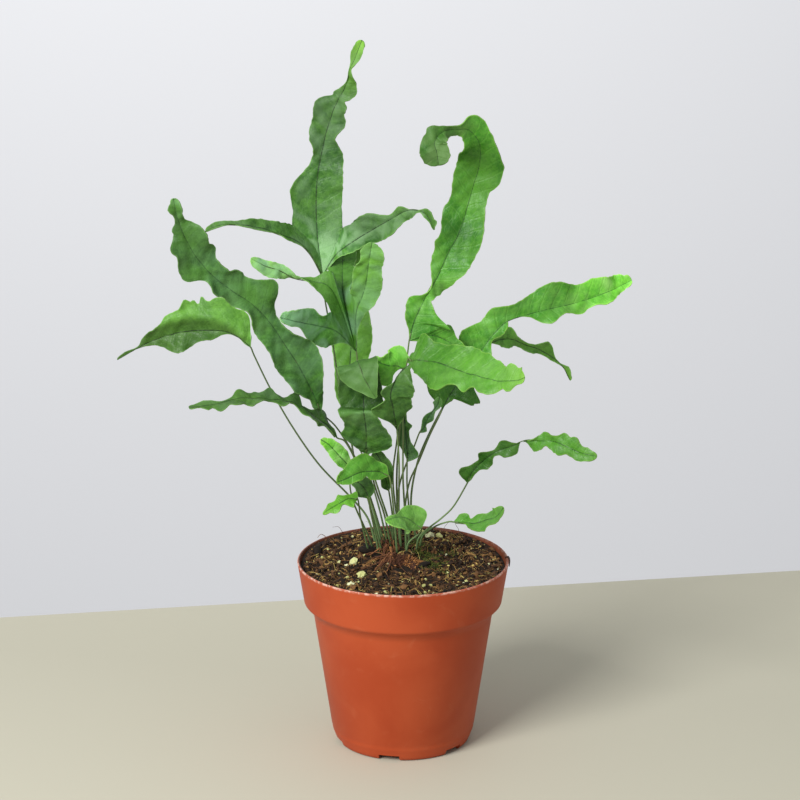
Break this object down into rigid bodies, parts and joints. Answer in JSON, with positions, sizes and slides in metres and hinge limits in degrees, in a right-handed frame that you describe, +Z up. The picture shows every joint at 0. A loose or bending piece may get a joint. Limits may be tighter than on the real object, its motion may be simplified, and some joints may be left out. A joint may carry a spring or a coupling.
{
  "type": "potted fern",
  "caption": "Young potted fern with strap-shaped and lobed wavy fronds on thin stalks, growing from a rhizome in dark soil in a round tapered nursery pot.",
  "frame": {"origin": "middle of the pot's foot, on the surface it stands on", "axes": "+Z up along the pot's axis; -Y towards the viewer of the picture; +X to the viewer's right"},
  "size_m": [0.2584, 0.1294, 0.348],
  "materials": {
    "pot_plastic": "matt injection-moulded plastic, terracotta-coloured, faintly scuffed at the lip",
    "potting_soil": "moist fibrous bark and peat mix with perlite grains",
    "rhizome_bark": "dry brown scales",
    "deep_green_leaf": "leathery leaf, satin, deep green",
    "bluish_leaf": "leathery leaf, satin with a waxy blue-green bloom",
    "fresh_green_leaf": "leathery leaf, satin, fresh bright green",
    "pale_green_leaf": "young leaf, satin, pale green"
  },
  "bodies": {
    "root": {"pot": "pot_plastic", "soil": "potting_soil", "rhizome": "rhizome_bark", "frond_tall_trilobed": "deep_green_leaf", "frond_tall_strap": "deep_green_leaf", "frond_five_lobed": "bluish_leaf", "frond_wavy_left": "bluish_leaf", "frond_drooping_left": "deep_green_leaf", "frond_low_left": "deep_green_leaf", "frond_front_folded": "deep_green_leaf", "frond_small_curled": "fresh_green_leaf", "frond_dark_diamond": "deep_green_leaf", "frond_hanging_narrow": "deep_green_leaf", "frond_tall_hooked": "fresh_green_leaf", "frond_big_right": "fresh_green_leaf", "frond_bright_right": "fresh_green_leaf", "frond_narrow_grey": "bluish_leaf", "frond_low_right": "fresh_green_leaf", "frond_small_right": "fresh_green_leaf", "frond_front_oval": "pale_green_leaf", "frond_light_left": "fresh_green_leaf", "frond_bright_middle": "fresh_green_leaf", "frond_small_cluster": "deep_green_leaf", "frond_small_dark": "deep_green_leaf", "frond_small_left": "fresh_green_leaf", "frond_thin_dark": "deep_green_leaf"}
  },
  "joints": []
}
